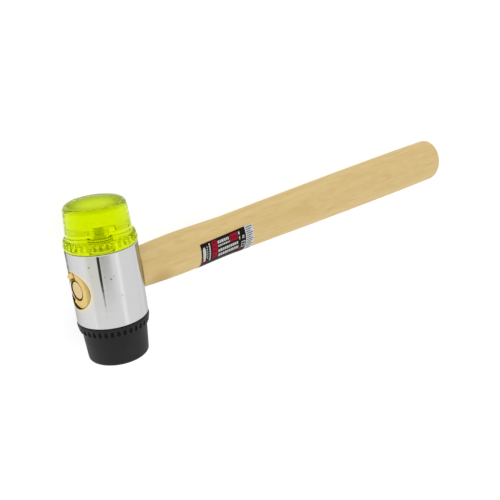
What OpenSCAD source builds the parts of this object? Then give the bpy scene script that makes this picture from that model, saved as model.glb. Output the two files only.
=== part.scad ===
// Soft face hammer: a chromed steel head with two screw-on faces, one of clear yellow
// plastic and one of black rubber, on an oval wooden handle wedged with a steel ring.
// It lies on its side: +X runs along the handle to the butt, +Y along the head to the
// plastic face, +Z is up. The origin is under the middle of the hammer, on the bench.

/* [Head] */
// Diameter of the chromed steel barrel
head_d = 40; // [36:0.5:46]
// Length of the barrel between the two faces
head_l = 42.5; // [38:0.5:60]
// Round on the barrel's two end edges
head_edge_r = 0.6; // [0.3:0.1:1.5]
// Diameter of the eye where the handle goes in
eye_d = 20.4; // [17:0.2:21]
// Diameter of the eye where the tenon comes out, spread by the ring wedge
eye_flare_d = 21; // [17:0.2:23]
// Steel left between the bottom of a stud's socket and the eye
socket_web = 1.3; // [0.8:0.1:3]

/* [Faces] */
// Diameter of the smooth lip next to the barrel
lip_d = 40.4; // [37:0.2:46]
// Thickness of the smooth lip
lip_t = 1.9; // [1.2:0.1:3]
// Round on the lip's edge at the barrel
lip_edge_r = 1; // [0.2:0.1:1.2]
// Diameter of the flange at its far end
shoulder_d = 39.2; // [38:0.2:45]
// Round on the flange's far edge
shoulder_r = 0.8; // [0.4:0.1:1.2]
// Thickness of the whole flange
flange_t = 5.6; // [4.6:0.1:7]
// Diameter of the striking cap at the flange
cap_base_d = 36.6; // [32:0.2:37.4]
// Diameter of the striking cap at its tip, before its edge is rounded
cap_tip_d = 34.2; // [30:0.2:36]
// Height of a face from its seat to its striking surface
face_l = 23.9; // [18:0.5:36]
// Round on the plastic face's striking edge
plastic_edge_r = 3.4; // [1:0.1:4]
// Round on the rubber face's striking edge
rubber_edge_r = 1.8; // [1:0.1:4]
// Number of grip notches round a flange
notch_count = 36; // [24:1:40]
// Width of a grip notch
notch_d = 2; // [1.2:0.1:2.2]
// Depth of a grip notch where it runs out at the lip
notch_run_out = 0.5; // [0.1:0.1:0.8]
// Turn of the rubber face's notches when it is screwed home, in degrees
rubber_notch_turn = 4.6; // [0:0.1:10]

/* [Studs and inserts] */
// Diameter of the threaded studs, over the thread
stud_d = 6; // [5:0.5:8]
// Length of a stud that stands out of the head
stud_out = 10.6; // [8:0.2:14]
// Chamfer on a stud's two ends
stud_chamfer = 0.8; // [0.4:0.1:1.2]
// Outer diameter of the threaded insert in each face
insert_d = 9.4; // [9:0.2:12]
// Length of the threaded insert
insert_l = 4.2; // [3.6:0.2:7]
// Distance that the insert sits below the face's seat
insert_sink = 0.3; // [0.1:0.1:0.8]
// Spacing of the anchor grooves round an insert
groove_pitch = 1; // [0.8:0.1:1.6]
// Width of an anchor groove
groove_w = 0.45; // [0.3:0.05:0.6]
// Depth of an anchor groove
groove_depth = 0.4; // [0.2:0.05:0.6]
// Room left in a face past the stud's end and round it
stud_room = 0.8; // [0.3:0.1:1]

/* [Handle] */
// Reach of the handle from the head's centre to the butt
handle_reach = 300; // [220:5:380]
// Height of the handle where it meets the head
shoulder_h = 23.2; // [22.6:0.2:27]
// Depth of the handle where it meets the head
shoulder_w = 21.6; // [21.2:0.2:25]
// Height of the handle at the swell in front of the head
swell_h = 26.1; // [23:0.2:30]
// Distance of the swell from the head's centre
swell_x = 52; // [40:1:60]
// Height of the handle at its waist
waist_h = 25; // [22:0.2:30]
// Depth of the handle at its waist
waist_w = 21.4; // [20:0.2:26]
// Distance of the waist from the head's centre
waist_x = 86; // [70:1:110]
// Height of the handle at the butt
butt_h = 31; // [24:0.5:38]
// Depth of the handle at the butt
butt_w = 25.6; // [20:0.5:32]
// Round on the butt's edge
butt_edge_r = 5.5; // [2:0.5:8]
// Distance of the tenon's sawn end from the head's centre
tenon_reach = 19; // [17:0.2:22]

/* [Ring wedge] */
// Outer diameter of the ring wedge
ring_d = 12; // [9:0.2:14]
// Wall of the ring at its struck end
ring_wall = 1.1; // [0.8:0.1:2]
// Wall of the ring at its sharp end
ring_edge_wall = 0.4; // [0.2:0.1:0.8]
// Length of the ring wedge
ring_l = 13; // [8:0.5:18]
// Depth that the ring and the wood inside it are driven below the tenon's end
ring_recess = 0.3; // [0.1:0.1:3]

/* [Label] */
// Distance of the label's front edge from the head's centre
label_x = 58.5; // [46:0.5:80]
// Length of the label along the handle
label_l = 42; // [30:1:60]
// Height of the label's long edges above the handle's axis, towards the plastic face
label_edge_y = 4.8; // [-4:0.2:8]
// Thickness of the label
label_t = 0.2; // [0.15:0.05:0.4]

/* [Fits] */
// Radial clearance between parts that fit into each other
fit_gap = 0.05; // [0.02:0.01:0.1]
// Gap between a face and the end of the barrel
seat_gap = 0.2; // [0.1:0.05:0.4]
// Gap between the handle's saddle and the barrel
saddle_gap = 0.1; // [0.05:0.05:0.3]
// Gap between the label and the wood
label_gap = 0.03; // [0.02:0.01:0.1]

/* [Hidden] */

$fn = 96;
// Sides of a notch's round
notch_sides = 24;
// Sides of the handle's oval section
oval_sides = 40;
// Spacing of the sections along the handle
section_step = 8;
// Sections round the butt's edge
butt_edge_steps = 5;
// Extra length that takes a cut clear of the surface it opens
cut = 1;
// Side of the head that each face is on
plastic_side = 1;
rubber_side = -1;

head_r = head_d / 2;
widest_r = max(head_d, lip_d) / 2;
front_reach = max(widest_r, tenon_reach);
// The head's centre, with the hammer's box centred on the origin and standing on z = 0
head_x = front_reach - (handle_reach + front_reach) / 2;
head_z = widest_r;
// Size of a cut that takes in the handle's whole section
handle_span = 2 * max(shoulder_h, swell_h, waist_h, butt_h);
// Depth of a stud in the head
stud_in = head_l / 2 - max(eye_d, eye_flare_d) / 2 - socket_web;
// Slope of the striking cap's side
cap_taper = atan((cap_base_d - cap_tip_d) / 2 / (face_l - flange_t));
// Where the oval section starts, inside the saddle that fits the barrel
saddle_x = sqrt(pow(head_r, 2) - pow(max(shoulder_w, eye_d) / 2, 2)) - cut;
butt_edge_x = handle_reach - butt_edge_r;
section_count = floor((butt_edge_x - saddle_x) / section_step);

module in_head() {
    translate([head_x, 0, head_z]) children();
}

// Turns +Z into the outward direction of one end of the head, and starts at that end
module at_end(side) {
    in_head() rotate([-90 * side, 0, 0]) translate([0, 0, head_l / 2]) children();
}

// A solid of revolution along +X
module along_x(x) {
    translate([x, 0, 0]) rotate([0, 90, 0]) children();
}

// Head

function eye_at(x) = (eye_d + eye_flare_d) / 2 + (eye_d - eye_flare_d) / 2 * x / head_r;

// Tapered round that fills the eye from x = a to x = b
module eye_taper(a, b, gap) {
    along_x(a) cylinder(h = b - a, d1 = eye_at(a) - 2 * gap, d2 = eye_at(b) - 2 * gap);
}

module barrel_profile() {
    square([head_r - head_edge_r, head_l]);
    translate([0, head_edge_r]) square([head_r, head_l - 2 * head_edge_r]);
    for (z = [head_edge_r, head_l - head_edge_r]) {
        translate([head_r - head_edge_r, z]) circle(head_edge_r);
    }
}

module socket(side) {
    at_end(side) translate([0, 0, -stud_in]) cylinder(h = stud_in + cut, d = stud_d + 2 * fit_gap);
}

module head_body() {
    color("gainsboro") difference() {
        at_end(plastic_side) translate([0, 0, -head_l]) rotate_extrude() barrel_profile();
        in_head() eye_taper(-head_r - cut, head_r + cut, 0);
        socket(plastic_side);
        socket(rubber_side);
    }
}

// Faces

function cap_r(z) = cap_base_d / 2 - (z - flange_t) * tan(cap_taper);

module flange_profile() {
    far_r = shoulder_d / 2;
    polygon([[0, 0], [lip_d / 2 - lip_edge_r, 0], [lip_d / 2, lip_edge_r], [lip_d / 2, lip_t],
        [far_r, flange_t - shoulder_r], [far_r - shoulder_r, flange_t], [0, flange_t]]);
    translate([lip_d / 2 - lip_edge_r, lip_edge_r]) circle(lip_edge_r);
    translate([far_r - shoulder_r, flange_t - shoulder_r]) circle(shoulder_r);
}

// The cap's side meets its round edge along a tangent
module cap_profile(edge_r) {
    edge_z = face_l - edge_r;
    edge_x = cap_r(edge_z) - edge_r / cos(cap_taper);
    polygon([[0, lip_t], [cap_base_d / 2, lip_t], [cap_base_d / 2, flange_t],
        [edge_x + edge_r * cos(cap_taper), edge_z + edge_r * sin(cap_taper)],
        [edge_x, face_l], [0, face_l]]);
    translate([edge_x, edge_z]) circle(edge_r);
}

// Notches that run out at the lip and are open to the striking side
module notches() {
    start = [lip_d / 2 + notch_d / 2 - notch_run_out, lip_t];
    end = [cap_base_d / 2 + notch_d / 2, flange_t];
    run = norm(end - start);
    lean = atan2(end.x - start.x, end.y - start.y);
    for (i = [0 : notch_count - 1]) {
        rotate([0, 0, 360 * i / notch_count]) translate([start.x, 0, start.y])
            rotate([0, lean, 0]) cylinder(h = run + cut, d = notch_d, $fn = notch_sides);
    }
}

module face(side, edge_r, notch_turn) {
    at_end(side) translate([0, 0, seat_gap]) difference() {
        rotate_extrude() {
            flange_profile();
            cap_profile(edge_r);
        }
        rotate([0, 0, notch_turn]) notches();
        translate([0, 0, -cut])
            cylinder(h = insert_sink + insert_l + fit_gap + cut, d = insert_d + 2 * fit_gap);
        cylinder(h = stud_out - seat_gap + stud_room, d = stud_d + 2 * stud_room);
    }
}

module plastic_face() {
    color([0.8, 0.9, 0, 0.7]) face(plastic_side, plastic_edge_r, 0);
}

module rubber_face() {
    color([0.17, 0.17, 0.18]) face(rubber_side, rubber_edge_r, rubber_notch_turn);
}

// Inserts and studs

module insert_profile() {
    bore_r = stud_d / 2 + fit_gap;
    groove_count = floor(insert_l / groove_pitch) - 1;
    first_groove = (insert_l - (groove_count - 1) * groove_pitch) / 2;
    difference() {
        translate([bore_r, 0]) square([insert_d / 2 - bore_r, insert_l]);
        for (i = [0 : groove_count - 1]) {
            translate([insert_d / 2 - groove_depth, first_groove + i * groove_pitch - groove_w / 2])
                square([groove_depth + cut, groove_w]);
        }
    }
}

module insert(side) {
    color("silver") at_end(side) translate([0, 0, seat_gap + insert_sink])
        rotate_extrude() insert_profile();
}

module stud(side) {
    tip_d = stud_d - 2 * stud_chamfer;
    color("dimgray") at_end(side) translate([0, 0, -stud_in]) {
        cylinder(h = stud_chamfer, d1 = tip_d, d2 = stud_d);
        translate([0, 0, stud_chamfer]) cylinder(h = stud_in + stud_out - 2 * stud_chamfer, d = stud_d);
        translate([0, 0, stud_in + stud_out - stud_chamfer])
            cylinder(h = stud_chamfer, d1 = stud_d, d2 = tip_d);
    }
}

module plastic_face_insert() { insert(plastic_side); }
module plastic_face_stud() { stud(plastic_side); }
module rubber_face_insert() { insert(rubber_side); }
module rubber_face_stud() { stud(rubber_side); }

// Handle

function share(a, b, x) = min(1, max(0, (x - a) / (b - a)));
// Quick at first and level at the end
function rise(a, b, x) = sin(90 * share(a, b, x));
// Level at both ends
function ease(a, b, x) = (1 - cos(180 * share(a, b, x))) / 2;

function handle_h(x) =
    x < swell_x ? shoulder_h + (swell_h - shoulder_h) * rise(head_r, swell_x, x)
    : x < waist_x ? swell_h + (waist_h - swell_h) * ease(swell_x, waist_x, x)
    : waist_h + (butt_h - waist_h) * rise(waist_x, handle_reach, x);

function handle_w(x) =
    x < waist_x ? shoulder_w + (waist_w - shoulder_w) * ease(head_r, waist_x, x)
    : waist_w + (butt_w - waist_w) * rise(waist_x, handle_reach, x);

// Sections along the straight run, then round the butt's edge, each as [x, inset]
function section_x(i) = saddle_x + (butt_edge_x - saddle_x) * i / section_count;
function run_sections(first, last) = [for (i = [first : last]) [section_x(i), 0]];
function butt_sections() = [for (i = [1 : butt_edge_steps])
    let (turn = 90 * i / butt_edge_steps)
    [butt_edge_x + butt_edge_r * sin(turn), butt_edge_r * (1 - cos(turn))]];

function oval(section, grow) = [for (i = [0 : oval_sides - 1])
    let (turn = 360 * i / oval_sides)
    [section[0],
        (handle_h(section[0]) / 2 - section[1] + grow) * cos(turn),
        (handle_w(section[0]) / 2 - section[1] + grow) * sin(turn)]];

// One skin through a row of oval sections, with flat ends
module loft(sections, grow) {
    last = len(sections) - 1;
    points = [for (s = sections) each oval(s, grow)];
    skin = [for (s = [0 : last - 1], i = [0 : oval_sides - 1])
        let (a = s * oval_sides + i,
            b = s * oval_sides + (i + 1) % oval_sides,
            c = a + oval_sides,
            d = b + oval_sides)
        each [[a, c, b], [b, c, d]]];
    front = [for (i = [0 : oval_sides - 1]) i];
    back = [for (i = [oval_sides - 1 : -1 : 0]) last * oval_sides + i];
    polyhedron(points, concat(skin, [front, back]));
}

// The saddle that the barrel beds into
module saddle_cut() {
    rotate([90, 0, 0]) cylinder(h = handle_span, r = head_r + saddle_gap, center = true);
}

module ring_profile(gap) {
    outer_r = ring_d / 2;
    polygon([[outer_r - ring_wall - gap, 0], [outer_r + gap, 0], [outer_r + gap, ring_l + gap],
        [outer_r - ring_edge_wall - gap, ring_l + gap]]);
}

// Room for the ring wedge in the tenon's end
module ring_seat() {
    along_x(-tenon_reach - cut) cylinder(h = ring_recess + cut, d = ring_d + 2 * fit_gap);
    along_x(-tenon_reach + ring_recess) rotate_extrude() ring_profile(fit_gap);
}

module handle() {
    color("burlywood") in_head() difference() {
        union() {
            difference() {
                loft(concat(run_sections(0, section_count), butt_sections()), 0);
                saddle_cut();
            }
            eye_taper(-tenon_reach, head_r + saddle_gap + cut, fit_gap);
        }
        ring_seat();
    }
}

module ring_wedge() {
    color("slategray") in_head() along_x(-tenon_reach + ring_recess) rotate_extrude() ring_profile(0);
}

// Label

module handle_label() {
    first = max(0, floor((label_x - saddle_x) / section_step) - 1);
    last = min(section_count, ceil((label_x + label_l - saddle_x) / section_step) + 1);
    color([0.1, 0.1, 0.1]) in_head() intersection() {
        difference() {
            loft(run_sections(first, last), label_gap + label_t);
            loft(run_sections(first, last), label_gap);
        }
        translate([label_x, label_edge_y - handle_span, -handle_span / 2])
            cube([label_l, handle_span, handle_span]);
    }
}

head_body();
plastic_face();
plastic_face_insert();
plastic_face_stud();
rubber_face();
rubber_face_insert();
rubber_face_stud();
handle();
ring_wedge();
handle_label();
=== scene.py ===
import bisect
import math

import bmesh
import bpy
from mathutils import Matrix, Vector


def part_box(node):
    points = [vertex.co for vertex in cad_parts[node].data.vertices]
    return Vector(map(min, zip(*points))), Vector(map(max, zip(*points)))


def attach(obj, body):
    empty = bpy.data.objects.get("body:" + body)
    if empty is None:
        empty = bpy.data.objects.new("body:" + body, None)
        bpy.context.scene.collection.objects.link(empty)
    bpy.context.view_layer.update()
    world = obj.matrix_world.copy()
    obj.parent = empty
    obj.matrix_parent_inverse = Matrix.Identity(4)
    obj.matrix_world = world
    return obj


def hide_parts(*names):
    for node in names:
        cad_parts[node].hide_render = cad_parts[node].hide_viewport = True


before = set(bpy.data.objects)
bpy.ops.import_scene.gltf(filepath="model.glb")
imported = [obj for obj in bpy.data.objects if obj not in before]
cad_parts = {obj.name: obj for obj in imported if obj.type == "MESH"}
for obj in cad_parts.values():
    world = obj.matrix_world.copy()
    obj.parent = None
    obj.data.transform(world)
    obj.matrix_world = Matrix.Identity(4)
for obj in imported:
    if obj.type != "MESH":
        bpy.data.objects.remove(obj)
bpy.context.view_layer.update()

MM = 0.001
TAU = 2 * math.pi

# Places and sizes that the frame gives, in millimetres
low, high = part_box("head_body")
HEAD = (low + high) / 2 / MM
HEAD_R = (high.x - low.x) / 2 / MM
HEAD_HALF = (high.y - low.y) / 2 / MM
low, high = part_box("plastic_face")
SEAT_GAP = low.y / MM - HEAD_HALF
LIP_R = (high.x - low.x) / 2 / MM
FACE_L = (high.y - low.y) / MM
low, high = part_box("plastic_face_insert")
INSERT_R = (high.x - low.x) / 2 / MM
INSERT_L = (high.y - low.y) / MM
INSERT_SINK = low.y / MM - HEAD_HALF - SEAT_GAP
low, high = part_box("plastic_face_stud")
STUD_R = (high.x - low.x) / 2 / MM
STUD_OUT = high.y / MM - HEAD_HALF
STUD_IN = HEAD_HALF - low.y / MM
low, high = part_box("handle")
HANDLE_REACH = high.x / MM - HEAD.x
TENON_REACH = HEAD.x - low.x / MM
BUTT_H = (high.y - low.y) / MM
BUTT_W = (high.z - low.z) / MM
low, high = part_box("ring_wedge")
RING_R = (high.y - low.y) / 2 / MM
RING_L = (high.x - low.x) / MM
RING_RECESS = low.x / MM - HEAD.x + TENON_REACH
low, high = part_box("handle_label")
LABEL_X = low.x / MM - HEAD.x
LABEL_L = (high.x - low.x) / MM
LABEL_EDGE_Y = high.y / MM

# Sizes of the faces: lengths in millimetres, counts, and a turn of the rubber face's notches
LIP_T = 1.9
LIP_EDGE_R = 1.0
LIP_STEP = 0.02
SHOULDER_R = 19.6
SHOULDER_ROUND = 0.8
FLANGE_T = 5.6
CAP_BASE_R = 18.3
CAP_TIP_R = 17.1
CAP_MIDDLE_R = 0.5
PLASTIC_EDGE = (3.2, 3.6)
RUBBER_EDGE = (1.8, 1.8)
NOTCH_COUNT = 36
NOTCH_R = 1.0
NOTCH_RUN_OUT = 0.5
NOTCH_COLUMNS = 16
NOTCH_SHADE_DEPTH = 0.1
RUBBER_NOTCH_TURN = math.radians(4.6)

# Sizes of the studs and inserts: lengths in millimetres, and rows and columns of their meshes
THREAD_PITCH = 1.0
THREAD_DEPTH = 0.6
THREAD_ROWS = 8
STUD_COLUMNS = 48
STUD_CHAMFER = 0.8
STUD_CLEAR = 0.05
STUD_ROOM = 0.8
COLLAR_H = 6.9
COLLAR_T = 0.4
INSERT_COLUMNS = 72
GROOVE_PITCH = 1.0
GROOVE_W = 0.45
GROOVE_DEPTH = 0.4

# Sizes of the handle and its label, in millimetres; places along X are from the head's centre
EYE_R = 10.2
EYE_FLARE_R = 10.5
EYE_GAP = 0.05
SADDLE_H = 23.2
SADDLE_W = 21.6
SWELL_H = 26.1
SWELL_X = 52
WAIST_H = 25
WAIST_W = 21.4
WAIST_X = 86
BUTT_EDGE_R = 5.5
SADDLE_GAP = 0.1
SADDLE_ROUND = 0.5
TENON_CHAMFER = 0.35
RING_WALL = 1.1
RING_EDGE_WALL = 0.4
LABEL_GAP = 0.03
LABEL_T = 0.2
LABEL_LEAN = 0.04

# The camera: its place in millimetres from the head's centre, its directions, lens and film
CAMERA_PLACE = Vector((-188.9, 151.4, 347.3))
CAMERA_LOOK = Vector((0.6068, -0.3452, -0.7159))
CAMERA_UP = Vector((0.2965, 0.9341, -0.1991))
CAMERA_LENS = 53.99
CAMERA_FILM = 36


# Shader nodes

def put(tree, socket, value):
    """Links a socket to another one, or sets its value."""
    if isinstance(value, bpy.types.NodeSocket):
        tree.links.new(value, socket)
    else:
        socket.default_value = value


def add(tree, kind, inputs=None, **settings):
    """A new node with its settings and its inputs."""
    node = tree.nodes.new(kind)
    for name, value in settings.items():
        setattr(node, name, value)
    for key, value in (inputs or {}).items():
        put(tree, node.inputs[key], value)
    return node


def maths(tree, operation, *values):
    return add(tree, "ShaderNodeMath", dict(enumerate(values)), operation=operation).outputs[0]


def times(tree, first, *others):
    for other in others:
        first = maths(tree, "MULTIPLY", first, other)
    return first


def remap(tree, value, from_low, from_high, to_low=0.0, to_high=1.0, smooth=True):
    """Carries one range over to another and stops at its ends."""
    inputs = {"Value": value, 1: from_low, 2: from_high, 3: to_low, 4: to_high}
    kind = "SMOOTHSTEP" if smooth else "LINEAR"
    return add(tree, "ShaderNodeMapRange", inputs, interpolation_type=kind, clamp=True).outputs[0]


def blend(tree, share, first, second):
    """Mixes two colours; the share is the second one's."""
    node = add(tree, "ShaderNodeMix", data_type="RGBA")
    colours = [s for s in node.inputs if s.type == "RGBA"]
    put(tree, node.inputs[0], share)
    put(tree, colours[0], first)
    put(tree, colours[1], second)
    return next(s for s in node.outputs if s.type == "RGBA")


def place(tree, scale, shift):
    """The piece's own place in metres, scaled and then shifted."""
    where = add(tree, "ShaderNodeTexCoord").outputs["Object"]
    inputs = {"Vector": where, "Scale": scale, "Location": shift}
    return add(tree, "ShaderNodeMapping", inputs).outputs[0]


def from_head(tree):
    """The place from the head's centre, in millimetres."""
    return place(tree, (1 / MM, 1 / MM, 1 / MM), -HEAD)


def split(tree, vector):
    parts = add(tree, "ShaderNodeSeparateXYZ", {"Vector": vector})
    return [parts.outputs[k] for k in "XYZ"]


def length(tree, *parts):
    """Length of the vector with these parts."""
    total = 0.0
    for part in parts:
        total = maths(tree, "ADD", times(tree, part, part), total)
    return maths(tree, "SQRT", total)


def distance(tree, here, spot):
    return add(tree, "ShaderNodeVectorMath", {0: here, 1: spot}, operation="DISTANCE").outputs["Value"]


def noise(tree, grain, detail=3.0, roughness=0.5, distortion=0.0, shift=(0, 0, 0)):
    """Noise with so many cells a metre along X, Y and Z."""
    inputs = {"Vector": place(tree, grain, shift), "Scale": 1.0, "Detail": detail,
              "Roughness": roughness, "Distortion": distortion}
    return add(tree, "ShaderNodeTexNoise", inputs).outputs["Fac"]


def bump(tree, height, strength, distance_mm, normal=None):
    inputs = {"Height": height, "Strength": strength, "Distance": distance_mm * MM}
    if normal is not None:
        inputs["Normal"] = normal
    return add(tree, "ShaderNodeBump", inputs).outputs[0]


def paint(tree, shader, **values):
    """Sets or links the shader's inputs, whose names are written in small letters."""
    for word, value in values.items():
        name = word.replace("_", " ").title().replace("Ior", "IOR")
        put(tree, shader.inputs[name], value)


def new_material(name, **constants):
    """A material with one principled shader and its constant values."""
    material = bpy.data.materials.new(name)
    material.use_nodes = True
    tree = material.node_tree
    shader = tree.nodes["Principled BSDF"]
    paint(tree, shader, **constants)
    return material, tree, shader


def rgb(red, green, blue):
    return (red, green, blue, 1.0)


def grey(value):
    return rgb(value, value, value)


# Materials

# Places and radii are in millimetres from the head's centre; in a pair, a mark starts at the first
# value and is full at the second

# Pits in the plate as a place, a radius and a strength
PITS = (((-16.0, 15.0, 12.0), 0.9, 0.7), ((-15.4, 9.9, 12.8), 0.6, 0.3), ((-10.4, 9.0, 17.1), 0.7, 0.35),
        ((-7.6, 7.3, 18.5), 0.9, 0.7), ((-6.0, 8.5, 19.1), 0.8, 0.4), ((-3.2, -3.1, 19.7), 0.9, 0.35),
        ((-19.3, -18.3, 5.2), 0.7, 0.4))
PIT_RIM = 0.3
PIT_RAGGED = 0.7
# The painted warm reflection of the wood on the plate round the eye, the painted shade in the eye's gap
# at its rim and the duller handle side
EYE_WOOD_REFLECTION_R = (13.5, 10.6)
EYE_GAP_SHADE_RIM = 0.12
DULL_X = (11.0, 17.0)
# The painted dark reflection on the plate, between the eye and the plastic face
DARK_REFLECTION_UPPER_Z = (-1.6, -4.8)
DARK_REFLECTION_LOWER_Z = (-13.5, -7.5)
DARK_REFLECTION_Y = (4.0, 13.0)
# The plastic face: its striking surface, the pale worn spot there, and heights counted up from it; the
# spot is set off towards the camera's side, so its darker outer part is painted shade towards the back
# rim
STRIKE_H = HEAD_HALF + SEAT_GAP + FACE_L
WORN_AND_SHADE_X = -2.8
WORN_AND_SHADE_Z = 5.2
WORN_AND_SHADE_R = (3.0, 15.0)
STRUCK_R = (17.5, 14.5)
STRUCK_UP = (-0.3, -0.02)
RUBBED_UP = (-3.2, -1.4)
STEP_UP = FLANGE_T - FACE_L
FLANGE_FADE = 0.2 * FLANGE_T
STRUCK_CLARITY = 0.45
STRUCK_BEND = 1.07
# The tenon: where its colours start, its core, the outer wall of the ring's seat and its own side
TENON_X = -12.0
CORE_R = 5.2
SEAT_WALL_R = 6.3
TENON_SIDE_R = 10.2
# Painted shade in the tenon's cracks, under its edge and on its seat's walls, where that shade turns
# lighter, and a painted highlight along the rim of one side
TENON_SHADE_DEPTH = (0.8, 1.2)
TENON_SIDE_SHADE_DEPTH = 0.7
LIGHTER_SHADE_Y = (-5.0, -7.5)
RIM_HIGHLIGHT_Z = (-4.8, -6.0)
RIM_HIGHLIGHT_Y = 4.4
# The handle's grain: one dark patch on its -Y side near the head, and growth rings with their number in a
# millimetre
DARK_PATCH = (30.0, -9.0, 6.0)
DARK_PATCH_R = (13.0, 2.0)
RING_DENSITY = 0.21
PITH_DEPTH = 30.0
RING_DRIFT = 16.0
RING_SWIRL = 8.0


def plate_pits(tree, here):
    """How much of a pit each place of the plate is."""
    ragged = times(tree, noise(tree, (1500, 1500, 1500), detail=2.0), PIT_RAGGED)
    pit = 0.0
    for spot, radius, strength in PITS:
        away = maths(tree, "ADD", distance(tree, here, spot), ragged)
        mark = remap(tree, away, radius + PIT_RIM, 0.5 * radius, 0.0, strength)
        pit = maths(tree, "MAXIMUM", mark, pit)
    return pit


def plate_dark_reflection(tree, here, haze):
    """A patchy painted dark reflection on the barrel, between the eye and the plastic face."""
    x, y, z = split(tree, here)
    across = times(tree, remap(tree, z, *DARK_REFLECTION_UPPER_Z), remap(tree, z, *DARK_REFLECTION_LOWER_Z))
    along = times(tree, remap(tree, y, *DARK_REFLECTION_Y, 0.0, 0.78), maths(tree, "LESS_THAN", x, 0.0))
    return times(tree, across, along, remap(tree, haze, 0.36, 0.52, 0.45, 1.0))


def chrome():
    """Bright plate with a few pits, a painted dark reflection, a painted warm reflection of the wood
    round the eye and painted shade in the eye's gap.
    """
    material, tree, shader = new_material("chrome", specular_tint=rgb(0.66, 0.67, 0.65),
                                          specular_ior_level=0.0)
    here = from_head(tree)
    x, y, z = split(tree, here)
    from_eye = length(tree, y, z)
    pit = plate_pits(tree, here)
    haze = noise(tree, (160, 160, 160), detail=4.0, roughness=0.6)
    colour = blend(tree, haze, rgb(0.60, 0.605, 0.60), rgb(0.64, 0.645, 0.64))
    # Painted warm reflection of the wood on the plate round the eye
    colour_mark = remap(tree, from_eye, *EYE_WOOD_REFLECTION_R, 0.0, 0.7)
    colour = blend(tree, colour_mark, colour, rgb(0.84, 0.65, 0.42))
    colour = blend(tree, pit, colour, rgb(0.10, 0.09, 0.08))
    # Painted shade in the gap between the eye's rim and the tenon
    eye_gap_shade = maths(tree, "LESS_THAN", from_eye, EYE_FLARE_R + EYE_GAP_SHADE_RIM)
    colour = blend(tree, eye_gap_shade, colour, rgb(0.10, 0.06, 0.02))
    # Painted dark reflection on the barrel, between the eye and the plastic face
    dark_reflection = plate_dark_reflection(tree, here, haze)
    colour = blend(tree, dark_reflection, colour, rgb(0.04, 0.04, 0.035))
    dull = maths(tree, "MAXIMUM", times(tree, eye_gap_shade, 0.5), remap(tree, x, *DULL_X, 0.0, 0.2))
    roughness = maths(tree, "ADD", remap(tree, haze, 0.3, 0.75, 0.02, 0.06), dull)
    relief = bump(tree, noise(tree, (15, 2500, 15), detail=2.0), 0.03, 0.1)
    relief = bump(tree, noise(tree, (45, 90, 45), detail=2.0), 0.05, 0.6, relief)
    relief = bump(tree, pit, -0.6, 0.3, relief)
    metallic = maths(tree, "SUBTRACT", 1.0, dark_reflection)
    paint(tree, shader, base_color=colour, metallic=metallic, roughness=roughness, normal=relief)
    return material


def plastic_colour(tree, up, from_worn_and_shade_spot, struck, flange):
    """Lime, with its own colour on the flange, darker on the rubbed edge, and worn where it strikes; the
    worn spot's darker outer part is painted shade towards the back rim.
    """
    cloud = noise(tree, (70, 70, 70))
    colour = blend(tree, cloud, rgb(0.70, 0.875, 0.0), rgb(0.74, 0.915, 0.0))
    on_flange = remap(tree, up, STEP_UP, STEP_UP - FLANGE_FADE)
    colour = blend(tree, on_flange, colour, flange)
    colour = blend(tree, remap(tree, up, *RUBBED_UP), colour, rgb(0.49, 0.63, 0.0))
    # The worn spot sits towards the camera's side; its darker outer part is painted shade towards the
    # back rim
    worn_and_shaded = blend(tree, remap(tree, from_worn_and_shade_spot, *WORN_AND_SHADE_R), rgb(0.58, 0.73, 0.0), rgb(0.36, 0.46, 0.0))
    return blend(tree, struck, colour, worn_and_shaded)


def yellow_plastic(name, clarity, bend, flange):
    """Clear glowing lime plastic, polished on its sides and scuffed on the striking surface."""
    material, tree, shader = new_material(name, specular_ior_level=0.06,
                                          specular_tint=rgb(1.0, 1.0, 0.0))
    x, y, z = split(tree, from_head(tree))
    up = maths(tree, "SUBTRACT", y, STRIKE_H)
    from_worn_and_shade_spot = length(tree, maths(tree, "SUBTRACT", x, WORN_AND_SHADE_X), maths(tree, "SUBTRACT", z, WORN_AND_SHADE_Z))
    struck = times(tree, remap(tree, up, *STRUCK_UP), remap(tree, from_worn_and_shade_spot, *STRUCK_R))
    scuffs = noise(tree, (500, 90, 240), detail=4.0, roughness=0.65, distortion=0.4)
    scuffed = times(tree, struck, remap(tree, scuffs, 0.3, 0.7, 0.1, 0.25))
    shoulder = times(tree, remap(tree, up, STEP_UP - 1.0, STEP_UP - 0.5),
                     remap(tree, up, STEP_UP + 0.8, STEP_UP + 0.3, 0.0, 0.3))
    paint(tree, shader, base_color=plastic_colour(tree, up, from_worn_and_shade_spot, struck, flange),
          transmission_weight=remap(tree, struck, 0.0, 1.0, clarity, STRUCK_CLARITY, smooth=False),
          ior=remap(tree, struck, 0.0, 1.0, bend, STRUCK_BEND, smooth=False),
          roughness=maths(tree, "MAXIMUM", scuffed, shoulder),
          normal=bump(tree, scuffs, 0.01, 0.1))
    return material


def hazy_bore():
    """The bore of the plastic face, clear and slightly dulled by the mould's core."""
    material, tree, shader = new_material("yellow_bore", ior=1.46, transmission_weight=1.0,
                                          roughness=0.06)
    cloud = noise(tree, (400, 400, 400))
    paint(tree, shader, base_color=blend(tree, cloud, rgb(0.79, 0.87, 0.0), rgb(0.85, 0.93, 0.0)))
    return material


def rubber(name, specular, light, dark):
    """Satin moulded rubber with a fine grain and a little dust."""
    material, tree, shader = new_material(name, specular_ior_level=specular)
    grain = noise(tree, (2200, 2200, 2200), detail=2.0)
    dust = noise(tree, (120, 60, 120), detail=5.0, roughness=0.65)
    paint(tree, shader, base_color=blend(tree, remap(tree, dust, 0.45, 0.8), dark, light),
          roughness=remap(tree, dust, 0.3, 0.7, 0.42, 0.6), normal=bump(tree, grain, 0.12, 0.1))
    return material


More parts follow.
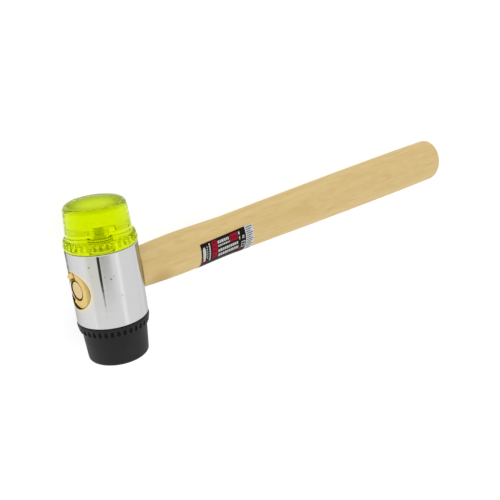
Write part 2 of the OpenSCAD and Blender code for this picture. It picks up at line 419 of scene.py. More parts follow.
def metal(name, light, dark, roughness):
    """Plain metal with light stains."""
    material, tree, shader = new_material(name, metallic=1.0)
    colour_mark = noise(tree, (300, 300, 300), detail=4.0, roughness=0.6)
    paint(tree, shader, base_color=blend(tree, remap(tree, colour_mark, 0.3, 0.7), dark, light),
          roughness=remap(tree, colour_mark, 0.3, 0.7, roughness, roughness + 0.2),
          normal=bump(tree, colour_mark, 0.1, 0.1))
    return material


def growth_rings(tree, y, z):
    """The dark late part of each growth ring, round a pith below the handle."""
    drift = times(tree, noise(tree, (9, 40, 40)), RING_DRIFT)
    swirl = times(tree, noise(tree, (30, 60, 60), detail=2.0, shift=(0.4, 0.1, 0.7)), RING_SWIRL)
    across = maths(tree, "ADD", y, drift)
    deep = maths(tree, "ADD", maths(tree, "ADD", z, PITH_DEPTH), swirl)
    rings = maths(tree, "FRACT", times(tree, length(tree, across, deep), RING_DENSITY))
    return times(tree, remap(tree, rings, 0.2, 0.9), remap(tree, rings, 1.0, 0.9))


def side_grain(tree, here, fibre):
    """Colour of the long sides: growth rings, pale streaks, mottling, fibres and one dark patch near the
    head.
    """
    _, y, z = split(tree, here)
    late = times(tree, growth_rings(tree, y, z), 0.6)
    streak = remap(tree, noise(tree, (5, 160, 160)), 0.35, 0.7, 0.0, 0.6)
    mottle = remap(tree, noise(tree, (90, 520, 520)), 0.45, 0.75, 0.0, 0.55)
    # A darker patch on the -Y side near the head
    dark_patch = remap(tree, distance(tree, here, DARK_PATCH), *DARK_PATCH_R, 0.0, 0.7)
    colour = blend(tree, late, rgb(0.665, 0.495, 0.22), rgb(0.605, 0.425, 0.16))
    colour = blend(tree, streak, colour, rgb(0.705, 0.525, 0.25))
    colour = blend(tree, mottle, colour, rgb(0.595, 0.41, 0.15))
    colour = blend(tree, remap(tree, fibre, 0.42, 0.72, 0.0, 0.25), colour, rgb(0.535, 0.385, 0.145))
    return blend(tree, dark_patch, colour, rgb(0.48, 0.31, 0.09))


def tenon_grain(tree, radius, sawn, pores):
    """Colour of the tenon: ochre end grain, a pale core inside the ring and a browner side."""
    ochre = blend(tree, pores, rgb(0.80, 0.59, 0.20), rgb(0.72, 0.50, 0.14))
    ochre = blend(tree, remap(tree, sawn, 0.99, 0.8), ochre, rgb(0.61, 0.45, 0.16))
    pale = blend(tree, pores, rgb(0.80, 0.63, 0.33), rgb(0.64, 0.46, 0.20))
    return blend(tree, maths(tree, "LESS_THAN", radius, CORE_R), ochre, pale)


def tenon_painted_shade(tree, x, radius, sawn):
    """Where painted shade darkens the tenon: in its cracks, below its edge and on the walls of the ring's
    seat.
    """
    depth = maths(tree, "ADD", x, TENON_REACH)
    side = times(tree, maths(tree, "GREATER_THAN", radius, TENON_SIDE_R), TENON_SIDE_SHADE_DEPTH)
    crack = times(tree, remap(tree, maths(tree, "SUBTRACT", depth, side), *TENON_SHADE_DEPTH),
                  maths(tree, "GREATER_THAN", radius, CORE_R))
    wall = times(tree, maths(tree, "LESS_THAN", sawn, 0.5), maths(tree, "LESS_THAN", radius, SEAT_WALL_R))
    return maths(tree, "MAXIMUM", crack, wall)


def wood():
    """Pale straight-grained wood, with ochre end grain on the tenon, painted shade in its cracks and a
    painted highlight on one side of its rim.
    """
    material, tree, shader = new_material("handle_wood", specular_ior_level=0.15)
    here = from_head(tree)
    x, y, z = split(tree, here)
    radius = length(tree, y, z)
    facing = add(tree, "ShaderNodeNewGeometry").outputs["Normal"]
    sawn = maths(tree, "ABSOLUTE", split(tree, facing)[0])
    fibre = noise(tree, (14, 900, 900), detail=4.0, roughness=0.62)
    pores = noise(tree, (300, 700, 260), detail=4.0, roughness=0.6)
    tenon = maths(tree, "LESS_THAN", x, TENON_X)
    butt_end = blend(tree, pores, rgb(0.64, 0.48, 0.22), rgb(0.54, 0.38, 0.15))
    colour = blend(tree, remap(tree, sawn, 0.6, 0.9), side_grain(tree, here, fibre), butt_end)
    colour = blend(tree, tenon, colour, tenon_grain(tree, radius, sawn, pores))
    # Painted highlight along the tenon's rim on one side
    rim_highlight = times(tree, remap(tree, z, *RIM_HIGHLIGHT_Z), tenon, maths(tree, "LESS_THAN", y, RIM_HIGHLIGHT_Y))
    colour = blend(tree, rim_highlight, colour, rgb(0.95, 0.84, 0.68))
    # Painted shade in the tenon's cracks and recesses, lighter towards -Y
    recess_shade_colour = blend(tree, remap(tree, y, *LIGHTER_SHADE_Y), rgb(0.11, 0.06, 0.015), rgb(0.32, 0.21, 0.07))
    recess_shade = times(tree, tenon_painted_shade(tree, x, radius, sawn), tenon)
    paint(tree, shader, base_color=blend(tree, recess_shade, colour, recess_shade_colour),
          roughness=remap(tree, fibre, 0.3, 0.7, 0.42, 0.6), normal=bump(tree, fibre, 0.12, 0.2))
    return material


def ink(name, light, dark, roughness):
    """Slightly worn printing ink on the label."""
    material, tree, shader = new_material(name, specular_ior_level=0.03)
    wear = noise(tree, (900, 900, 900), detail=4.0, roughness=0.7)
    paint(tree, shader, base_color=blend(tree, wear, dark, light),
          roughness=remap(tree, wear, 0.3, 0.7, roughness, roughness + 0.12))
    return material


# Meshes

def skin(name, rows, ink_of=None, looped=False):
    """A closed skin over rows of points in millimetres; a row of one point closes an end."""
    starts = []
    points = []
    for row in rows:
        starts.append(len(points))
        points.extend(row)
    pairs = [(i, i + 1) for i in range(len(rows) - 1)]
    if looped:
        pairs.append((len(rows) - 1, 0))
    faces = []
    inks = []
    for band, (a, b) in enumerate(pairs):
        count = max(len(rows[a]), len(rows[b]))
        for i in range(count):
            corners = []
            for row, k in ((a, i), (a, i + 1), (b, i + 1), (b, i)):
                corner = starts[row] + k % len(rows[row])
                if corner not in corners:
                    corners.append(corner)
            faces.append(corners)
            inks.append(ink_of(band, i) if ink_of else 0)
    return solid(name, points, faces, inks)


def solid(name, points, faces, inks, sharp=35):
    """A piece from points in millimetres, smooth but for edges sharper than an angle in degrees."""
    mesh = bpy.data.meshes.new(name)
    mesh.from_pydata([Vector(p) * MM for p in points], [], faces)
    mesh.polygons.foreach_set("material_index", inks)
    work = bmesh.new()
    work.from_mesh(mesh)
    bmesh.ops.recalc_face_normals(work, faces=work.faces)
    work.to_mesh(mesh)
    work.free()
    mesh.shade_smooth()
    mesh.set_sharp_from_angle(angle=math.radians(sharp))
    piece = bpy.data.objects.new(name, mesh)
    bpy.context.scene.collection.objects.link(piece)
    return piece


def dress(piece, body, slot, *materials):
    """Gives a piece its materials and its body; its slot is not used."""
    for material in materials:
        piece.data.materials.append(material)
    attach(piece, body)


def turns(count):
    return [TAU * i / count for i in range(count)]


def end_of_head(side):
    """Turns +Z into the outward direction of one end of the head, and starts at that end."""
    outward = Matrix.Rotation(math.radians(-90 * side), 4, "X")
    return Matrix.Translation(HEAD) @ outward @ Matrix.Translation((0, 0, HEAD_HALF))


def ring_row(axes, radius, h, count):
    """One row of a turned shape; radius is a number or a function of the turn."""
    row = []
    for turn in turns(count):
        r = radius(turn) if callable(radius) else radius
        row.append(axes @ Vector((r * math.cos(turn), r * math.sin(turn), h)))
    return row


def arc(centre, radius, start, end, steps):
    """Points on an arc between two angles in degrees."""
    points = []
    for i in range(steps + 1):
        angle = math.radians(start + (end - start) * i / steps)
        points.append((centre[0] + radius * math.cos(angle), centre[1] + radius * math.sin(angle)))
    return points


def between(first, last, steps):
    """Points on a straight line after its first point, up to and with its last."""
    return [tuple(a + (b - a) * i / steps for a, b in zip(first, last)) for i in range(1, steps + 1)]


# Faces

CAP_SLOPE = (CAP_BASE_R - CAP_TIP_R) / (FACE_L - FLANGE_T)
INSERT_TOP = INSERT_SINK + INSERT_L
BORE_END = STUD_OUT - SEAT_GAP + STUD_ROOM
FACE_COLUMNS = NOTCH_COUNT * NOTCH_COLUMNS
# The GROOVE and NOTCH inks carry painted shade in the insert's grooves and in the flange's notches
OUTSIDE, ANCHOR, GROOVE, NOTCH, BORE = range(5)


def notch_limit(h, turn):
    """Distance from the axis that the nearest notch leaves at one turn."""
    pitch = TAU / NOTCH_COUNT
    off = (turn + pitch / 2) % pitch - pitch / 2
    lean = (h - LIP_T) / (FLANGE_T - LIP_T)
    centre = LIP_R - NOTCH_RUN_OUT + (CAP_BASE_R - LIP_R + NOTCH_RUN_OUT) * lean + NOTCH_R
    aside = centre * math.sin(off)
    if abs(aside) >= NOTCH_R:
        return math.inf
    return centre * math.cos(off) - math.sqrt(NOTCH_R ** 2 - aside ** 2)


def groove_profile():
    """The insert's grooved outside, from its top down to its foot, as (radius, height, in a groove)."""
    count = int(INSERT_L / GROOVE_PITCH) - 1
    first = (INSERT_L - (count - 1) * GROOVE_PITCH) / 2
    inner = INSERT_R - GROOVE_DEPTH
    points = [(INSERT_R, INSERT_TOP, False)]
    for i in reversed(range(count)):
        middle = INSERT_SINK + first + i * GROOVE_PITCH
        upper, lower = middle + GROOVE_W / 2, middle - GROOVE_W / 2
        points += [(INSERT_R, upper, True), (inner, upper, True)]
        points += [(inner, lower, True), (INSERT_R, lower, False)]
    return points + [(INSERT_R, INSERT_SINK, False)]


def seat_profile():
    """The foot of the flange from the insert out, and the lip with its rounded edge."""
    middle = (LIP_R - LIP_EDGE_R, LIP_EDGE_R)
    foot = [(INSERT_R, 0)] + between((INSERT_R, 0), (middle[0], 0), 3)[:-1]
    return foot + arc(middle, LIP_EDGE_R, -90, 0, 6) + [(LIP_R, LIP_T)]


def flange_profile():
    """The flange's notched side, its rounded shoulder and the step to the cap."""
    start = (LIP_R - LIP_STEP, LIP_T + LIP_STEP)
    middle = (SHOULDER_R - SHOULDER_ROUND, FLANGE_T - SHOULDER_ROUND)
    side = [start] + between(start, (SHOULDER_R, middle[1]), 6)[:-1]
    step = between((middle[0], FLANGE_T), (CAP_BASE_R, FLANGE_T), 2)
    return side + arc(middle, SHOULDER_ROUND, 0, 90, 5) + step


def cap_profile(edge_size):
    """The cap's tapered side, its rounded edge and its striking surface."""
    wide, deep = edge_size
    edge_h = FACE_L - deep
    reach = math.hypot(wide, deep * CAP_SLOPE)
    edge_r = CAP_BASE_R - (edge_h - FLANGE_T) * CAP_SLOPE - reach
    turn_in = math.degrees(math.atan2(deep * CAP_SLOPE, wide))
    edge = [(edge_r + wide * r, edge_h + deep * h) for r, h in arc((0, 0), 1, turn_in, 90, 12)]
    side = between((CAP_BASE_R, FLANGE_T), edge[0], 5)[:-1]
    return side + edge + between(edge[-1], (CAP_MIDDLE_R, FACE_L), 4)


def face_profile(edge_size):
    """Bore, anchor, seat, flange and cap, from the bore's end out, as (radius, height, ink)."""
    bore_r = STUD_R + STUD_ROOM
    bore = [(bore_r, BORE_END)] + between((bore_r, BORE_END), (bore_r, INSERT_TOP), 4)
    profile = [(r, h, BORE) for r, h in bore]
    profile += [(r, h, GROOVE if grooved else ANCHOR) for r, h, grooved in groove_profile()]
    profile += [(r, h, OUTSIDE) for r, h in seat_profile()]
    profile += [(r, h, NOTCH) for r, h in flange_profile()]
    return profile + [(r, h, OUTSIDE) for r, h in cap_profile(edge_size)]


def face(name, side, edge_size, notch_turn, body, slot, *materials):
    """A striking face; its materials are for the outside, anchor, grooves, notches and bore, and those of
    the grooves and notches carry painted shade.
    """
    axes = end_of_head(side) @ Matrix.Translation((0, 0, SEAT_GAP))
    profile = face_profile(edge_size)
    rows = [[axes @ Vector((0, 0, BORE_END))]]
    for r, h, ink_index in profile:
        def radius(turn):
            return min(r, notch_limit(h, turn - notch_turn)) if ink_index == NOTCH else r
        rows.append(ring_row(axes, radius, h, FACE_COLUMNS))
    rows.append([axes @ Vector((0, 0, FACE_L))])

    def ink_of(band, column):
        r, h, ink_index = profile[max(band - 1, 0)]
        turn = TAU * (column + 0.5) / FACE_COLUMNS - notch_turn
        # Painted notch shade only where the notch is deep enough
        if ink_index == NOTCH and notch_limit(h, turn) > r - NOTCH_SHADE_DEPTH:
            return OUTSIDE
        return ink_index

    piece = skin(name, rows, ink_of)
    dress(piece, body, slot, *materials)
    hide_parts(body)


# Studs and inserts

def thread(radius, h, turn):
    """Radius of a thread at one height and turn."""
    phase = (h / THREAD_PITCH - turn / TAU) % 1
    return radius - THREAD_DEPTH * abs(2 * phase - 1)


def stud(name, side, node, *materials):
    """A threaded stud; its materials are for the thread and for a narrow plated collar."""
    axes = end_of_head(side) @ Matrix.Translation((0, 0, -STUD_IN))
    whole = STUD_IN + STUD_OUT
    steps = round(whole / THREAD_PITCH * THREAD_ROWS)
    rows = [[axes @ Vector((0, 0, 0))]]
    for i in range(steps + 1):
        h = whole * i / steps
        limit = STUD_R - STUD_CHAMFER + min(h, whole - h, STUD_CHAMFER)
        rows.append(ring_row(axes, lambda turn: min(limit, thread(STUD_R, h, turn)), h, STUD_COLUMNS))
    rows.append([axes @ Vector((0, 0, whole))])

    def ink_of(band, column):
        h = whole * (band - 1) / steps - STUD_IN
        return 1 if COLLAR_H - COLLAR_T / 2 < h < COLLAR_H + COLLAR_T / 2 else 0

    piece = skin(name, rows, ink_of)
    dress(piece, "head", "stud_steel", *materials)
    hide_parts(node)


def insert(name, side, node, body, material):
    """An insert with its grooves outside and its thread inside."""
    axes = end_of_head(side) @ Matrix.Translation((0, 0, SEAT_GAP))
    bore_r = STUD_R + STUD_CLEAR
    rows = [ring_row(axes, r - STUD_CLEAR, h, INSERT_COLUMNS) for r, h, _ in groove_profile()]
    steps = round(INSERT_L / THREAD_PITCH * THREAD_ROWS)
    for i in range(steps + 1):
        h = INSERT_SINK + INSERT_L * i / steps
        rows.append(ring_row(axes, lambda turn: thread(bore_r, h, turn), h, INSERT_COLUMNS))
    piece = skin(name, rows, looped=True)
    dress(piece, body, "insert_steel", material)
    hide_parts(node)


# Handle

HANDLE_COLUMNS = 360
SADDLE_ROWS = 8
GRIP_ROWS = 72
BUTT_ROWS = 8
# Where the handle's rows stop following the saddle, and rows in the flats of the core and the butt
SQUARE_X = 44
CORE_ROW_R = 2.0
BUTT_ROW_INSET = 5
# Rows along the tenon's side
TENON_XS = (-10, 0, 10)
# Rows from the ring's seat to the tenon's edge
END_PARTS = (0.0, 0.04, 0.08, 0.13, 0.18, 0.23, 0.27, 0.35, 0.45, 0.55, 0.65, 0.75, 0.85, 0.93, 1.0)
# The raised block and the chipped left side of the tenon's end, in degrees from +Y towards +Z
BLOCK_FROM = -51
BLOCK_TO = -9
CHIP_FROM = 212
LOSS_FROM = 172
CRACK_HALF = 1.6
# Their sizes, in millimetres
BLOCK_R = 7.0
BLOCK_CRACK = 0.65
BLOCK_LIFT = 0.35
CHIP_R = 7.3
CHIP_DEPTH = 1.5
CHIP_STEP = 0.1
LOWER_LOSS = 1.3
CRACK_DEPTH = 1.3


def share(a, b, x):
    """How far x is on the way from a to b, from 0 to 1."""
    return min(1.0, max(0.0, (x - a) / (b - a)))


def rise(a, b, x):
    """Goes from 0 at a to 1 at b and levels out there."""
    return math.sin(math.pi / 2 * share(a, b, x))


def ease(a, b, x):
    """Goes from 0 at a to 1 at b and is level at both."""
    return (1 - math.cos(math.pi * share(a, b, x))) / 2


def handle_h(x):
    """The handle's size along Y: a swell behind the head, a waist and a thick butt."""
    if x < SWELL_X:
        return SADDLE_H + (SWELL_H - SADDLE_H) * rise(HEAD_R, SWELL_X, x)
    if x < WAIST_X:
        return SWELL_H + (WAIST_H - SWELL_H) * ease(SWELL_X, WAIST_X, x)
    return WAIST_H + (BUTT_H - WAIST_H) * rise(WAIST_X, HANDLE_REACH, x)


def handle_w(x):
    """The handle's size along Z: a waist and a thick butt."""
    if x < WAIST_X:
        return SADDLE_W + (WAIST_W - SADDLE_W) * ease(HEAD_R, WAIST_X, x)
    return WAIST_W + (BUTT_W - WAIST_W) * rise(WAIST_X, HANDLE_REACH, x)


def on_handle(x, turn, grow=0.0):
    """A point of the handle's oval section, in millimetres in the frame."""
    return HEAD + Vector((x, (handle_h(x) / 2 + grow) * math.cos(turn),
                          (handle_w(x) / 2 + grow) * math.sin(turn)))


def on_tenon(x, radius, turn):
    return HEAD + Vector((x, radius * math.cos(turn), radius * math.sin(turn)))


def tenon_r(x):
    """The tenon's radius, which grows towards its end as the eye does."""
    return (EYE_R + EYE_FLARE_R) / 2 + (EYE_R - EYE_FLARE_R) / 2 * x / HEAD_R - EYE_GAP


def saddle_x(z):
    """How far from the head's axis the saddle is at one height."""
    return math.sqrt((HEAD_R + SADDLE_GAP) ** 2 - z ** 2)


def saddle_start(turn, inset):
    """Where one line along the handle leaves the saddle."""
    x = HEAD_R
    for _ in range(3):
        x = saddle_x((handle_w(x) / 2 - inset) * math.sin(turn))
    return x


def from_block(turn):
    """A turn in degrees, counted on from the left edge of the raised block in the tenon's end."""
    return (math.degrees(turn) - BLOCK_FROM) % 360 + BLOCK_FROM


def end_r(turn):
    """How far out the tenon's end reaches: less at its lower left, least where it is chipped."""
    angle = from_block(turn)
    if angle > CHIP_FROM:
        return CHIP_R
    return tenon_r(-TENON_REACH) - LOWER_LOSS * share(LOSS_FROM, CHIP_FROM, angle)


def end_drop(turn, r):
    """Depth of the tenon's end below its plane: a block stands proud and cracks run round it."""
    angle = from_block(turn)
    block_to = BLOCK_TO * share(RING_R, tenon_r(-TENON_REACH), r)
    if abs(angle - block_to) < CRACK_HALF or abs(angle - CHIP_FROM) < CRACK_HALF:
        return CRACK_DEPTH
    if angle < block_to:
        return CRACK_DEPTH if BLOCK_R - BLOCK_CRACK < r < BLOCK_R else -BLOCK_LIFT * (r > BLOCK_R)
    return 0.0


def ring_seat_rows():
    """The core inside the ring, the ring's seat and its outer wall."""
    top_x = RING_RECESS - TENON_REACH
    core_r = RING_R - RING_WALL - EYE_GAP
    edge_r = RING_R - RING_EDGE_WALL - EYE_GAP
    seat_r = RING_R + EYE_GAP
    rows = [[on_tenon(top_x, 0, 0)]]
    for x, r in ((top_x, CORE_ROW_R), (top_x, core_r), (top_x + RING_L, edge_r),
                 (top_x + RING_L, seat_r), (top_x, seat_r)):
        rows.append([on_tenon(x, r, turn) for turn in turns(HANDLE_COLUMNS)])
    return rows


def tenon_rows():
    """The tenon's end with its block and cracks, then its side up to the saddle."""
    end = -TENON_REACH
    seat_r = RING_R + EYE_GAP
    columns = turns(HANDLE_COLUMNS)
    rows = []
    for part in END_PARTS:
        row = []
        for turn in columns:
            r = seat_r + (end_r(turn) - TENON_CHAMFER - seat_r) * part
            row.append(on_tenon(end + end_drop(turn, r), r, turn))
        rows.append(row)
    for depth in (TENON_CHAMFER, CHIP_DEPTH):
        rows.append([on_tenon(end + depth, end_r(turn), turn) for turn in columns])
    for x in (end + CHIP_DEPTH + CHIP_STEP, *TENON_XS):
        rows.append([on_tenon(x, tenon_r(x), turn) for turn in columns])
    foot_r = tenon_r(saddle_x(0))
    rows.append([on_tenon(saddle_x(foot_r * math.sin(turn)), foot_r, turn) for turn in columns])
    return rows


def grip_rows():
    """The handle from its saddle to the butt."""
    columns = turns(HANDLE_COLUMNS)
    rows = [[on_handle(saddle_start(turn, SADDLE_ROUND), turn, -SADDLE_ROUND) for turn in columns]]
    for i in range(SADDLE_ROWS + 1):
        part = (i / SADDLE_ROWS) ** 2
        row = []
        for turn in columns:
            start = saddle_start(turn, 0) + SADDLE_ROUND
            row.append(on_handle(start + (SQUARE_X - start) * part, turn))
        rows.append(row)
    butt_x = HANDLE_REACH - BUTT_EDGE_R
    sections = [(SQUARE_X + (butt_x - SQUARE_X) * i / GRIP_ROWS, 0.0) for i in range(1, GRIP_ROWS + 1)]
    for i in range(1, BUTT_ROWS + 1):
        angle = math.pi / 2 * i / BUTT_ROWS
        sections.append((butt_x + BUTT_EDGE_R * math.sin(angle), BUTT_EDGE_R * (1 - math.cos(angle))))
    sections.append((HANDLE_REACH, BUTT_EDGE_R + BUTT_ROW_INSET))
    for x, inset in sections:
        rows.append([on_handle(x, turn, -inset) for turn in columns])
    rows.append([HEAD + Vector((HANDLE_REACH, 0, 0))])
    return rows


def handle(material):
    piece = skin("handle_wood", ring_seat_rows() + tenon_rows() + grip_rows())
    dress(piece, "head", "handle_wood", material)
    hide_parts("handle")


# Label

LABEL_STEPS = 200
LABEL_ROWS = 80
BLACK, WHITE, RED, PALE = range(4)


def label_turn_table():
    """Turns round the handle against the distance along the label from its upper edge."""
    x = LABEL_X + LABEL_L / 2
    start = math.acos(LABEL_EDGE_Y / (handle_h(x) / 2))
    table = [start + (TAU - 2 * start) * i / LABEL_STEPS for i in range(LABEL_STEPS + 1)]
    lengths = [0.0]
    for a, b in zip(table, table[1:]):
        lengths.append(lengths[-1] + (on_handle(x, b) - on_handle(x, a)).length)
    return table, lengths


LABEL_TURNS, LABEL_LENGTHS = label_turn_table()
LABEL_WRAP = LABEL_LENGTHS[-1]


def label_turn(v):
    """The turn round the handle at a distance along the label."""
    k = min(max(bisect.bisect(LABEL_LENGTHS, v), 1), LABEL_STEPS)
    a, b = LABEL_LENGTHS[k - 1], LABEL_LENGTHS[k]
    return LABEL_TURNS[k - 1] + (LABEL_TURNS[k] - LABEL_TURNS[k - 1]) * (v - a) / (b - a)


def bars(colour, u_from, u_to, v_from, v_to, widths, gap=0.35):
    """A row of plain blocks with narrow gaps between them."""
    marks = []
    u = u_from
    while u < u_to:
        wide = widths[len(marks) % len(widths)]
        marks.append((colour, u, min(u + wide, u_to), v_from, v_to))
        u += wide + gap
    return marks


def label_print():
    """Plain blocks and bars as (ink, u from, u to, v from, v to), in millimetres on the label."""
    marks = [(WHITE, 1.6, 2.9, 2.4, 3.4), (WHITE, 1.1, 3.4, 3.4, 9.2), (WHITE, 1.5, 3.1, 9.2, 11.8)]
    marks += [(RED, 0.3, 1.4, 10.4, 13.2), (RED, 3.6, 4.8, 11.6, 13.0)]
    for k in range(6):
        marks.append((WHITE, 4.2, 4.9, 2.4 + 1.45 * k, 3.2 + 1.45 * k))
    for k in range(8):
        marks.append((WHITE, 6.0, 7.0, 1.2 + 1.45 * k, 2.4 + 1.45 * k))
    marks += [(RED, 8.3, 12.3, 0.8, 11.9), (RED, 22.6, 28.8, 1.2, 5.8), (RED, 29.8, 31.0, 12.4, 13.9)]
    for k in range(4):
        marks.append((BLACK, 9.3, 11.4 - 0.5 * (k % 2), 1.6 + 2.7 * k, 2.3 + 2.7 * k))
        marks.append((BLACK, 23.4 + 1.3 * k, 24.0 + 1.3 * k, 2.6 + 0.5 * (k % 2), 4.7))
    marks += bars(WHITE, 12.9, 21.8, 1.9, 3.6, (1.3, 1.0, 1.6))
    marks += bars(WHITE, 12.9, 22.2, 4.5, 5.6, (1.0, 1.5, 0.8))
    marks += bars(WHITE, 12.9, 29.0, 7.2, 9.1, (1.2, 1.6, 1.0))
    marks += bars(WHITE, 13.2, 29.2, 10.4, 12.6, (1.6, 1.1, 1.3))
    marks += [(WHITE, 29.6, 30.7, 1.6, 3.4), (WHITE, 29.7, 30.5, 4.6, 6.6)]
    marks += [(WHITE, 32.4, 33.9, 4.9, 6.8), (BLACK, 32.9, 33.5, 5.5, 6.3)]
    marks += [(PALE, 31.6, 34.6, 8.6, 13.2), (BLACK, 32.0, 34.2, 9.1, 12.7)]
    marks.append((PALE, 32.8, 33.6, 10.4, 11.4))
    for row in range(5):
        top = 17.0 + 3.2 * row
        marks += bars(WHITE, 4.0, 30.0 - 3.0 * (row % 2), top, top + 1.0, (3.0, 1.8, 2.4))
    marks.append((PALE, 35.3, LABEL_L, 0, LABEL_WRAP))
    for bar in range(26):
        top = 0.9 + 1.3 * bar
        marks.append((BLACK, 36.0, 41.2 - 0.8 * (bar % 3), top, top + 0.5))
    return [mark for mark in marks if mark[4] <= LABEL_WRAP]


def on_label(u, v, grow):
    """A point of the film, which was wrapped on a little askew."""
    askew = LABEL_LEAN * (LABEL_L / 2 - u)
    return on_handle(LABEL_X + u + LABEL_LEAN * v, label_turn(v + askew), grow)


def label_lines(marks):
    """Where the film's mesh is cut: along u at the marks, along v at the marks and evenly."""
    us = sorted({0.0, LABEL_L} | {round(e, 4) for mark in marks for e in mark[1:3]})
    even = {round(LABEL_WRAP * i / LABEL_ROWS, 4) for i in range(LABEL_ROWS + 1)}
    return us, sorted(even | {round(e, 4) for mark in marks for e in mark[3:5]})


def ink_at(marks, u, v):
    """The ink of the last mark that covers a place on the film."""
    seen = BLACK
    for colour, u_from, u_to, v_from, v_to in marks:
        if u_from < u < u_to and v_from < v < v_to:
            seen = colour
    return seen


def border_of(rows, columns):
    """The outermost points of a grid that is numbered row by row, in order round it."""
    border = [i * columns for i in range(rows)]
    border += [(rows - 1) * columns + j for j in range(1, columns)]
    border += [i * columns + columns - 1 for i in reversed(range(rows - 1))]
    return border + list(reversed(range(1, columns - 1)))


def label(inks):
    """The film: a printed outer grid, a plain inner one and a border that joins them."""
    marks = label_print()
    us, vs = label_lines(marks)
    rows, columns = len(us), len(vs)
    half = rows * columns
    points = [on_label(u, v, grow) for grow in (LABEL_GAP + LABEL_T, LABEL_GAP) for u in us for v in vs]
    faces = []
    face_inks = []
    for i in range(rows - 1):
        for j in range(columns - 1):
            a = i * columns + j
            corners = [a, a + columns, a + columns + 1, a + 1]
            faces += [corners, [half + c for c in reversed(corners)]]
            face_inks += [ink_at(marks, (us[i] + us[i + 1]) / 2, (vs[j] + vs[j + 1]) / 2), PALE]
    border = border_of(rows, columns)
    for a, b in zip(border, border[1:] + border[:1]):
        faces.append([a, b, half + b, half + a])
        face_inks.append(PALE)
    piece = solid("label_film", points, faces, face_inks, sharp=40)
    dress(piece, "head", "label_film", *inks)
    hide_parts("handle_label")


# Stage, light and camera

# Turns in the tent, in degrees round the head's axis from +X towards +Z
OVERHEAD_TURN = 77
HORIZON_TURN = 180
GLOW_WIDTH = 7
WARM_TURN = 122
WARM_WIDTH = 5
SHADE_START = (88, 112)
SHADE_END = (136, 128)
GREEN_START = (134, 142)
CARD_TURN = 131
CARD_LEAN = 3
CARD_WIDTHS = (1.5, 7.5)
CARD_NEAR_SOFT = 0.8
CARD_FAR_SOFT = 3.0
# Ends of the dark card and of the tints beside it, as the Y part of a direction
CARD_NEAR = -0.33
CARD_FAR = -0.40
CARD_FULL_WIDTH = -0.355
CARD_FADE = (-0.405, -0.36)
AHEAD = (-0.25, -0.30)
# Strengths of the two glows, and shares of the light that the shade, the card and the green take
OVERHEAD_GLOW = 0.2
HORIZON_GLOW = 0.22
SHADE = 0.36
CARD_DARKNESS = 0.95
GREEN_LOSS = 0.09
# Half the floor's side, in millimetres
FLOOR_HALF = 3000


def hump(tree, value, centre, width):
    """A soft rise to one at the centre."""
    off = maths(tree, "DIVIDE", maths(tree, "SUBTRACT", value, centre), width)
    return maths(tree, "EXPONENT", times(tree, off, off, -1.0))


def dark_card(tree, turn, along, ahead):
    """How dark a narrow card is in each direction: it leans, and it is wider at its near end."""
    lean = times(tree, remap(tree, along, CARD_NEAR, CARD_FAR, smooth=False), CARD_LEAN)
    past = maths(tree, "SUBTRACT", turn, maths(tree, "ADD", lean, CARD_TURN))
    wide = remap(tree, along, CARD_FAR, CARD_FULL_WIDTH, *CARD_WIDTHS, smooth=False)
    near_edge = remap(tree, past, 0.0, CARD_NEAR_SOFT)
    far_edge = remap(tree, maths(tree, "SUBTRACT", past, wide), CARD_FAR_SOFT, 0.0)
    return times(tree, near_edge, far_edge, remap(tree, along, *CARD_FADE, 0.0, CARD_DARKNESS), ahead)


def studio():
    """A bright even tent with a soft light overhead, a glow at the horizon and one dark card."""
    world = bpy.data.worlds.new("studio")
    bpy.context.scene.world = world
    world.use_nodes = True
    tree = world.node_tree
    x, along, z = split(tree, add(tree, "ShaderNodeTexCoord").outputs["Generated"])
    turn = maths(tree, "DEGREES", maths(tree, "ARCTAN2", z, x))
    overhead = times(tree, hump(tree, turn, OVERHEAD_TURN, GLOW_WIDTH), OVERHEAD_GLOW)
    horizon = times(tree, hump(tree, turn, HORIZON_TURN, GLOW_WIDTH), HORIZON_GLOW)
    ahead = remap(tree, along, *AHEAD)
    by_card = times(tree, remap(tree, along, CARD_FAR, CARD_NEAR, smooth=False), ahead)
    shade = times(tree, remap(tree, turn, *SHADE_START), SHADE, remap(tree, turn, *SHADE_END), by_card)
    dark = maths(tree, "MAXIMUM", shade, dark_card(tree, turn, along, ahead))
    green = times(tree, remap(tree, turn, *GREEN_START), by_card)
    warm = times(tree, hump(tree, turn, WARM_TURN, WARM_WIDTH), by_card)
    light = maths(tree, "ADD", maths(tree, "ADD", overhead, horizon), 1.0)
    light = times(tree, light, maths(tree, "SUBTRACT", 1.0, dark))
    light = times(tree, light, maths(tree, "SUBTRACT", 1.0, times(tree, green, GREEN_LOSS)))
    tint = blend(tree, warm, grey(1.0), rgb(1.0, 0.9, 0.80))
    tint = blend(tree, green, tint, rgb(1.0, 1.0, 0.88))
    paint(tree, tree.nodes["Background"], strength=light, color=tint)


def floor():
    """A plain white floor that the head's lips and the butt both touch."""
    material, tree, shader = new_material("floor_white", roughness=0.9, emission_strength=0.86,
                                          emission_color=grey(1.0))
    paper = noise(tree, (40, 40, 40))
    paint(tree, shader, base_color=blend(tree, paper, grey(0.18), grey(0.20)))
    butt_x = HANDLE_REACH - BUTT_EDGE_R
    slope = (HEAD.z - handle_w(butt_x) / 2) / butt_x
    points = []
    for x, y in ((-1, -1), (1, -1), (1, 1), (-1, 1)):
        points.append((FLOOR_HALF * x, FLOOR_HALF * y, slope * (FLOOR_HALF * x - HEAD.x)))
    mesh = bpy.data.meshes.new("floor")
    mesh.from_pydata([Vector(p) * MM for p in points], [], [(0, 1, 2, 3)])
    mesh.materials.append(material)
    piece = bpy.data.objects.new("floor", mesh)
    bpy.context.scene.collection.objects.link(piece)


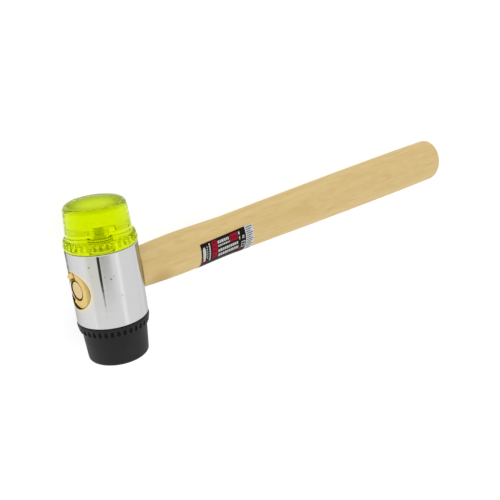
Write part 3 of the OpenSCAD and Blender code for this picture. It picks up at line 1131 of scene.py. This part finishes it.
def camera():
    """The camera, placed as the photo's was."""
    data = bpy.data.cameras.new("camera")
    data.lens = CAMERA_LENS
    data.sensor_width = CAMERA_FILM
    piece = bpy.data.objects.new("camera", data)
    bpy.context.scene.collection.objects.link(piece)
    back = -CAMERA_LOOK.normalized()
    side = CAMERA_UP.cross(back).normalized()
    axes = Matrix((side, back.cross(side), back)).transposed().to_4x4()
    piece.matrix_world = Matrix.Translation((HEAD + CAMERA_PLACE) * MM) @ axes
    bpy.context.scene.camera = piece


bpy.context.scene.view_settings.view_transform = "Standard"

camera()
studio()
floor()

# The barrel and the ring keep their solids and take only a material
# The wedge's near-black steel is painted shade in the ring's recess
wedge = metal("wedge_steel", rgb(0.06, 0.04, 0.02), rgb(0.02, 0.014, 0.008), 0.5)
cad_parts["head_body"].data.materials[0] = chrome()
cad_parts["ring_wedge"].data.materials[0] = wedge

lime = yellow_plastic("yellow_plastic", 0.84, 1.46, rgb(0.88, 0.99, 0.03))
# The notch material's darker flange colour is painted shade in the notches
lime_notch_shade = yellow_plastic("yellow_notch_shade", 0.8, 1.05, rgb(0.54, 0.66, 0.0))
anchor = metal("anchor_zinc", rgb(0.95, 0.95, 0.9), rgb(0.85, 0.85, 0.8), 0.3)
# The dark groove metal is painted shade in the insert's grooves
anchor_groove_shade = metal("anchor_groove_shade", rgb(0.05, 0.05, 0.04), grey(0.02), 0.5)
face("yellow_face", 1, PLASTIC_EDGE, 0.0, "plastic_face", "yellow_plastic",
     lime, anchor, anchor_groove_shade, lime_notch_shade, hazy_bore())

black = rubber("black_rubber", 0.24, rgb(0.018, 0.017, 0.017), rgb(0.008, 0.008, 0.009))
# The notch rubber is painted shade in the notches
black_notch_shade = rubber("black_rubber_notch_shade", 0.07, grey(0.006), grey(0.003))
face("black_face", -1, RUBBER_EDGE, RUBBER_NOTCH_TURN, "rubber_face", "black_rubber",
     black, black, black, black_notch_shade, black)

zinc = metal("insert_steel", rgb(0.66, 0.66, 0.63), rgb(0.5, 0.5, 0.47), 0.3)
steel = metal("stud_steel", grey(0.82), grey(0.7), 0.35)
stud("plastic_stud_thread", 1, "plastic_face_stud", steel, zinc)
stud("rubber_stud_thread", -1, "rubber_face_stud", steel, zinc)
insert("plastic_insert_thread", 1, "plastic_face_insert", "plastic_insert", zinc)
insert("rubber_insert_thread", -1, "rubber_face_insert", "rubber_insert", zinc)

handle(wood())
label([ink("label_black", rgb(0.016, 0.012, 0.012), rgb(0.007, 0.005, 0.005), 0.3),
       ink("label_white", rgb(0.62, 0.62, 0.58), rgb(0.42, 0.42, 0.4), 0.35),
       ink("label_red", rgb(0.40, 0.008, 0.03), rgb(0.24, 0.006, 0.02), 0.35),
       ink("label_pale", rgb(0.62, 0.61, 0.6), grey(0.5), 0.35)])
